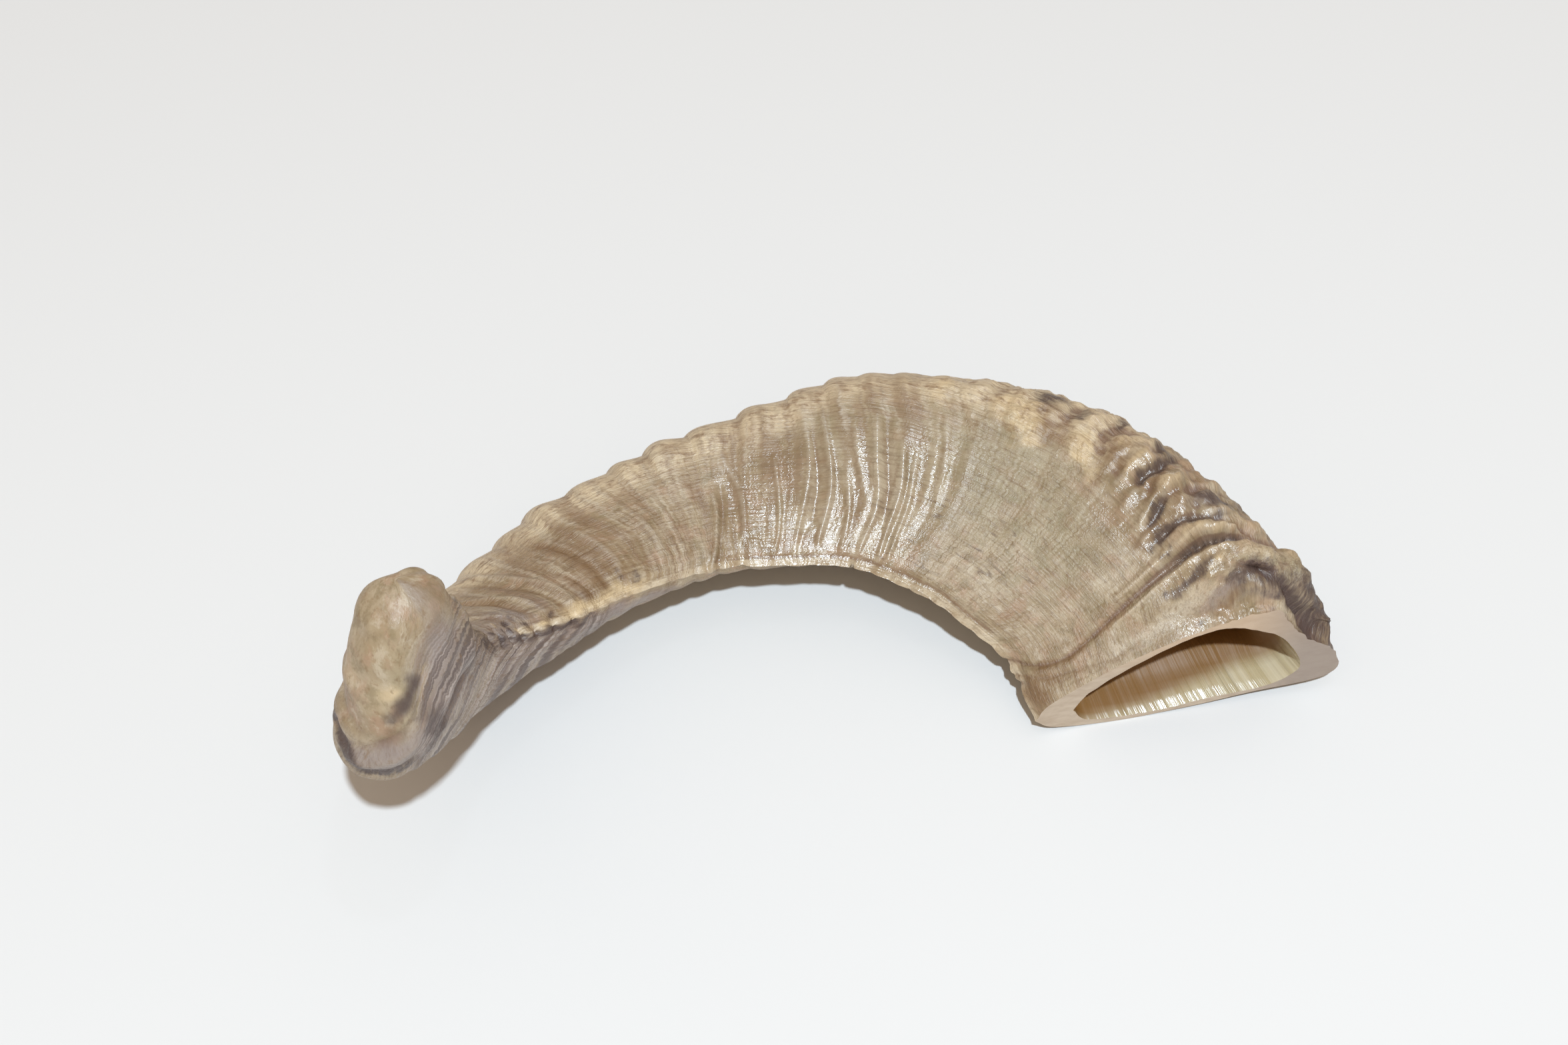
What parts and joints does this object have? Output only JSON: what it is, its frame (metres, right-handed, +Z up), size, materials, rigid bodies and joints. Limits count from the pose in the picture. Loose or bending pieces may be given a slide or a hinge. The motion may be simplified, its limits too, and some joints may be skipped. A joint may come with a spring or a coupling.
{
  "type": "ram horn",
  "caption": "Curved, twisted ram horn sheath with growth ridges, sawn flat and hollow at its base, lying on its side with the blunt tip up.",
  "frame": {"origin": "middle of the underside of the bounding box, on the surface that the horn lies on", "axes": "+Z up from the surface that it lies on; +X along the curve's chord, from the tip to the sawn base; +Y towards the back of the curve"},
  "size_m": [0.208, 0.1274, 0.0833],
  "materials": {
    "horn": "natural horn keratin, satin to wet gloss, beige to brown with fine lengthways fibres and crosswise growth bands"
  },
  "bodies": {
    "root": {"horn": "horn"}
  },
  "joints": []
}
